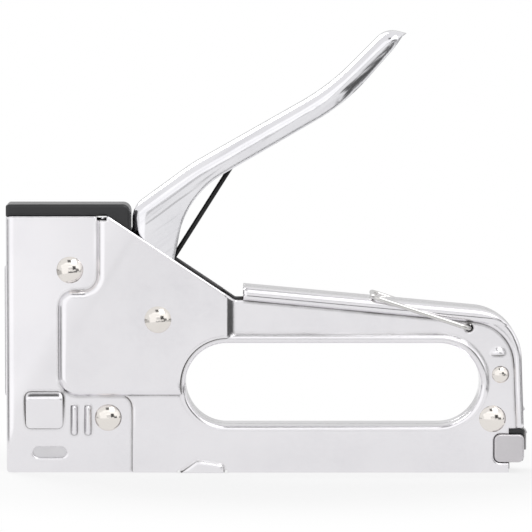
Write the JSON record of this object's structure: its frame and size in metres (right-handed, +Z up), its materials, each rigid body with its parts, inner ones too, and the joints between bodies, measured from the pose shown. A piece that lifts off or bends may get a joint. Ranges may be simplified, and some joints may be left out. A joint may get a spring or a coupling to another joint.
{
  "type": "staple gun",
  "caption": "Light-duty hand staple gun: pressed chrome body with a finger opening, squeeze lever, spring-driven plunger and blade, pull-out staple magazine and wire lock bail.",
  "frame": {"origin": "on the surface being stapled, under the middle of the whole length and width", "axes": "+X from the nose to the rear of the magazine, +Y to the far side, +Z up"},
  "size_m": [0.1602, 0.0228, 0.1352],
  "materials": {
    "shell": "bright chrome plate",
    "lever": "bright chrome plate",
    "nose_plate": "bright chrome plate",
    "cap": "black, satin",
    "rivet": "bright nickel",
    "bail": "bright nickel wire",
    "button": "satin",
    "latch": "black, satin",
    "pull_tab": "satin",
    "rubber": "matt",
    "spring": "drawn wire",
    "magazine": "zinc plate",
    "inner_steel": "plain"
  },
  "bodies": {
    "frame": {"left_shell": "shell", "right_shell": "shell", "upper_nose_rivet": "rivet", "lower_nose_rivet": "rivet", "pivot_rivet": "rivet", "rear_rivet": "rivet", "spine_rivet": "rivet", "upper_nose_spacer": "inner_steel", "lower_nose_spacer": "inner_steel", "rear_spacer": "inner_steel", "spine_spacer": "inner_steel", "pivot_bush": "inner_steel", "top_cap": "cap", "nose_plate": "nose_plate", "spring_seat": "inner_steel", "bumper_block": "inner_steel", "bumper": "rubber", "staple_liner": "magazine", "return_spring": "spring", "main_spring": "spring"},
    "lever_set": {"lever": "lever", "lifter": "inner_steel", "lever_pin": "inner_steel"},
    "plunger_set": {"plunger": "inner_steel", "driver_blade": "inner_steel", "blade_pin": "inner_steel"},
    "magazine": {"magazine_rail": "magazine", "feed_rod": "magazine", "latch_block": "latch", "pull_tab": "pull_tab", "feed_spring": "spring", "left_button_spring": "spring", "right_button_spring": "spring"},
    "pusher": {"pusher": "magazine"},
    "left_button": {"left_button": "button"},
    "right_button": {"right_button": "button"},
    "lock_bail": {"lock_bail": "bail"}
  },
  "joints": [
    {"name": "lever_pivot", "type": "hinge", "parent": "frame", "child": "lever_set", "pos_m": [-0.033, 0, 0.0471], "axis": [0, 1, 0], "range_deg": [0, 40], "stiffness_Nm_per_rad": 1.7, "springref_deg": -31.51, "deforming": ["return_spring"]},
    {"name": "plunger_slide", "type": "slide", "parent": "frame", "child": "plunger_set", "axis": [0, 0, 1], "range_m": [0, 0.01348], "deforming": ["main_spring"]},
    {"name": "magazine_slide", "type": "slide", "parent": "frame", "child": "magazine", "axis": [1, 0, 0], "range_m": [0, 0.1]},
    {"name": "pusher_slide", "type": "slide", "parent": "magazine", "child": "pusher", "axis": [1, 0, 0], "range_m": [0, 0.08], "stiffness_N_per_m": 40, "springref_m": -0.05, "deforming": ["feed_spring"]},
    {"name": "left_button_press", "type": "slide", "parent": "magazine", "child": "left_button", "axis": [0, 1, 0], "range_m": [0, 0.0007], "stiffness_N_per_m": 500, "springref_m": -0.001, "deforming": ["left_button_spring"]},
    {"name": "right_button_press", "type": "slide", "parent": "magazine", "child": "right_button", "axis": [0, -1, 0], "range_m": [0, 0.0007], "stiffness_N_per_m": 500, "springref_m": -0.001, "deforming": ["right_button_spring"]},
    {"name": "bail_pivot", "type": "hinge", "parent": "frame", "child": "lock_bail", "pos_m": [0.0621, 0, 0.0445], "axis": [0, 1, 0], "range_deg": [0, 150]}
  ],
  "couplings": [
    {"joint": "plunger_slide", "follows": "lever_pivot", "m_per_rad": 0.019298}
  ]
}
